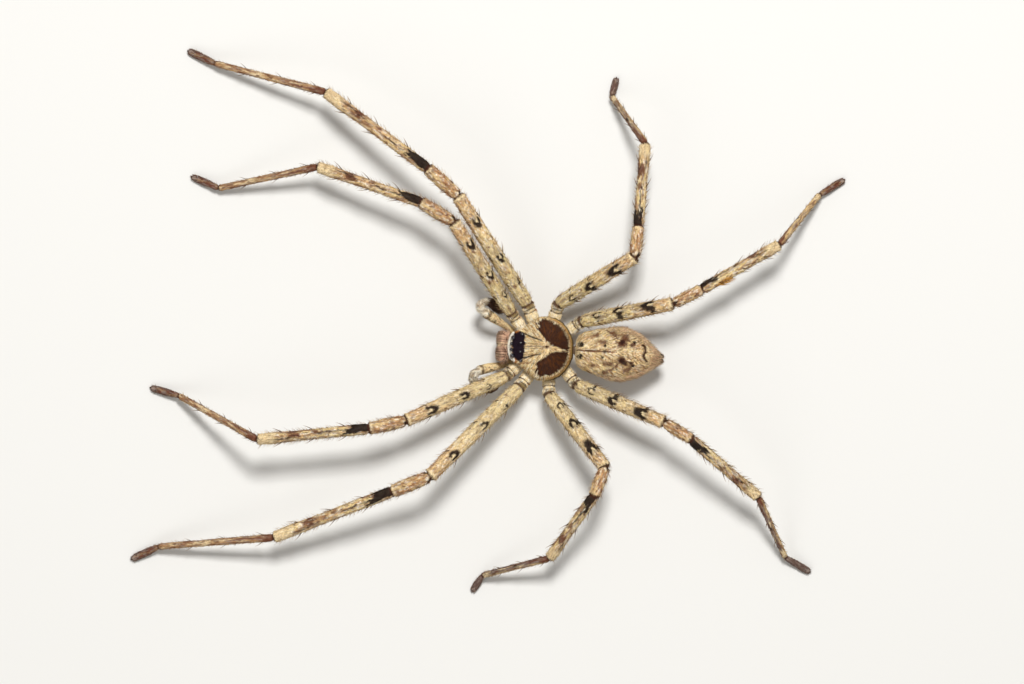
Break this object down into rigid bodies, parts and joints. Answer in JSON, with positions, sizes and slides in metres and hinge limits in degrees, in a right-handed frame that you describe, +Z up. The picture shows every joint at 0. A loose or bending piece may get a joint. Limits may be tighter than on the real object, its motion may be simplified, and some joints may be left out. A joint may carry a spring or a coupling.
{
  "type": "huntsman spider",
  "caption": "Life-size still model of a male huntsman spider, standing flat with long spiny legs spread, flat carapace, oval abdomen and eyes in two rows.",
  "frame": {"origin": "on the floor, under the middle of the box round the spread legs", "axes": "+Z up, the head toward -Y, the spider's left side toward +X"},
  "size_m": [0.0754, 0.0992, 0.012],
  "materials": {
    "carapace": "cream and tan short hair over cuticle, with two dark brown patches",
    "abdomen": "tan short hair with fine dark streaks and brown blotches",
    "legs": "pale cream-tan hair with dark rings, bands and flecks",
    "metatarsi": "reddish brown hair, darker at the base",
    "tarsi": "dark brown brush of hair",
    "chelicerae": "pinkish brown long hair",
    "fangs": "glossy dark brown horn",
    "eyes": "glossy black",
    "palps": "cream hair with dark flecks",
    "palp_ends": "dark brown hair",
    "sternum": "smooth tan cuticle",
    "spinnerets": "dark brown hair"
  },
  "bodies": {
    "root": {"carapace": "carapace", "sternum": "sternum", "abdomen": "abdomen", "spinnerets": "spinnerets", "eye_front_mid_R": "eyes", "eye_front_side_R": "eyes", "eye_rear_mid_R": "eyes", "eye_rear_side_R": "eyes", "chelicera_R": "chelicerae", "fang_R": "fangs", "palp_R": "palps", "palp_R_tip": "palp_ends", "leg_R1_coxa": "legs", "leg_R1_femur": "legs", "leg_R1_tibia": "legs", "leg_R1_metatarsus": "metatarsi", "leg_R1_tarsus": "tarsi", "leg_R2_coxa": "legs", "leg_R2_femur": "legs", "leg_R2_tibia": "legs", "leg_R2_metatarsus": "metatarsi", "leg_R2_tarsus": "tarsi", "leg_R3_coxa": "legs", "leg_R3_femur": "legs", "leg_R3_tibia": "legs", "leg_R3_metatarsus": "metatarsi", "leg_R3_tarsus": "tarsi", "leg_R4_coxa": "legs", "leg_R4_femur": "legs", "leg_R4_tibia": "legs", "leg_R4_metatarsus": "metatarsi", "leg_R4_tarsus": "tarsi", "eye_front_mid_L": "eyes", "eye_front_side_L": "eyes", "eye_rear_mid_L": "eyes", "eye_rear_side_L": "eyes", "chelicera_L": "chelicerae", "fang_L": "fangs", "palp_L": "palps", "palp_L_tip": "palp_ends", "leg_L1_coxa": "legs", "leg_L1_femur": "legs", "leg_L1_tibia": "legs", "leg_L1_metatarsus": "metatarsi", "leg_L1_tarsus": "tarsi", "leg_L2_coxa": "legs", "leg_L2_femur": "legs", "leg_L2_tibia": "legs", "leg_L2_metatarsus": "metatarsi", "leg_L2_tarsus": "tarsi", "leg_L3_coxa": "legs", "leg_L3_femur": "legs", "leg_L3_tibia": "legs", "leg_L3_metatarsus": "metatarsi", "leg_L3_tarsus": "tarsi", "leg_L4_coxa": "legs", "leg_L4_femur": "legs", "leg_L4_tibia": "legs", "leg_L4_metatarsus": "metatarsi", "leg_L4_tarsus": "tarsi"}
  },
  "joints": []
}
